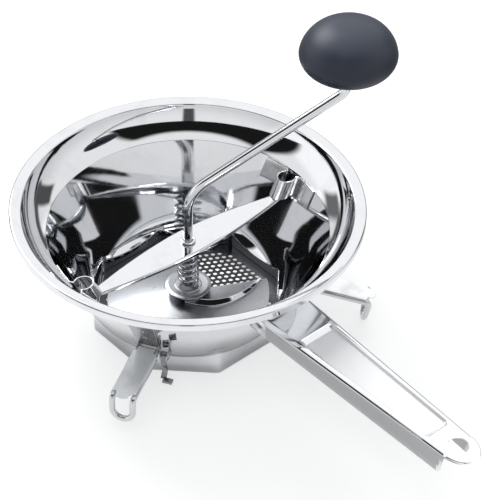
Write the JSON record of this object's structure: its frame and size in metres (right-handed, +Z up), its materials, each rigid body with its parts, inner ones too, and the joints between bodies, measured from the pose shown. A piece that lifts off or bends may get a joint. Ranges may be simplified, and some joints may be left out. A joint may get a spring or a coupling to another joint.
{
  "type": "food mill",
  "caption": "Hand cranked food mill: flared steel bowl, perforated sieve, sprung presser blade, locking crossbar, channel handle and folding support arms.",
  "frame": {"origin": "on the ground under the middle of the bounding box", "axes": "+X along the handle from the bowl to its tip, +Z up along the crank's axis"},
  "size_m": [0.4016, 0.2436, 0.228],
  "materials": {
    "mirror_steel": "mirror polished stainless steel",
    "brushed_steel": "satin stainless steel",
    "spring_steel": "drawn spring steel",
    "dark_plastic": "fine satin moulded plastic"
  },
  "bodies": {
    "body": {"bowl": "mirror_steel", "sieve_disc": "brushed_steel", "clip_left": "brushed_steel", "clip_right": "brushed_steel", "handle": "mirror_steel", "arm_bracket_front": "brushed_steel", "arm_bracket_right": "brushed_steel", "arm_bracket_rear": "brushed_steel", "latch_bracket": "brushed_steel", "latch_keeper": "brushed_steel"},
    "crank": {"crank_rod": "mirror_steel", "rod_collar": "mirror_steel", "blade_hub": "mirror_steel", "presser_blade": "mirror_steel", "hub_vane": "mirror_steel"},
    "grip": {"knob": "dark_plastic"},
    "bar_seat": {"spring": "spring_steel", "spring_washer": "brushed_steel"},
    "locking_bar": {"crossbar": "mirror_steel"},
    "arm_front": {"arm_strap_front": "brushed_steel", "arm_wire_front": "brushed_steel", "arm_pin_front": "spring_steel"},
    "arm_right": {"arm_strap_right": "brushed_steel", "arm_wire_right": "brushed_steel", "arm_pin_right": "spring_steel"},
    "arm_rear": {"arm_strap_rear": "brushed_steel", "arm_wire_rear": "brushed_steel", "arm_pin_rear": "spring_steel"},
    "latch": {"latch_strip": "spring_steel", "latch_pin": "spring_steel"}
  },
  "joints": [
    {"name": "crank_turn", "type": "hinge", "parent": "body", "child": "crank", "pos_m": [-0.06925, -0.00177, 0.06], "axis": [0, 0, 1], "continuous": true},
    {"name": "knob_spin", "type": "hinge", "parent": "crank", "child": "grip", "pos_m": [-0.01675, 0.08916, 0.191], "axis": [0, 0, 1], "continuous": true},
    {"name": "crossbar_press", "type": "slide", "parent": "body", "child": "bar_seat", "axis": [0, 0, -1], "range_m": [0, 0.003], "stiffness_N_per_m": 800, "springref_m": -0.008, "deforming": ["spring"]},
    {"name": "crossbar_turn", "type": "hinge", "parent": "bar_seat", "child": "locking_bar", "pos_m": [-0.06925, -0.00177, 0.06], "axis": [0, 0, 1], "range_deg": [0, 40]},
    {"name": "arm_fold_front", "type": "hinge", "parent": "body", "child": "arm_front", "pos_m": [-0.02815, -0.07239, 0.033], "axis": [-0.8643, -0.503, 0], "range_deg": [-14, 55]},
    {"name": "arm_fold_right", "type": "hinge", "parent": "body", "child": "arm_right", "pos_m": [-0.01147, 0.05601, 0.033], "axis": [0.7071, -0.7071, 0], "range_deg": [0, 70]},
    {"name": "arm_fold_rear", "type": "hinge", "parent": "body", "child": "arm_rear", "pos_m": [-0.15096, -0.00177, 0.033], "axis": [0, 1, 0], "range_deg": [-14, 55]},
    {"name": "latch_swing", "type": "hinge", "parent": "body", "child": "latch", "pos_m": [-0.02093, -0.06432, 0.029], "axis": [-0.8643, -0.503, 0], "range_deg": [0, 25]}
  ]
}
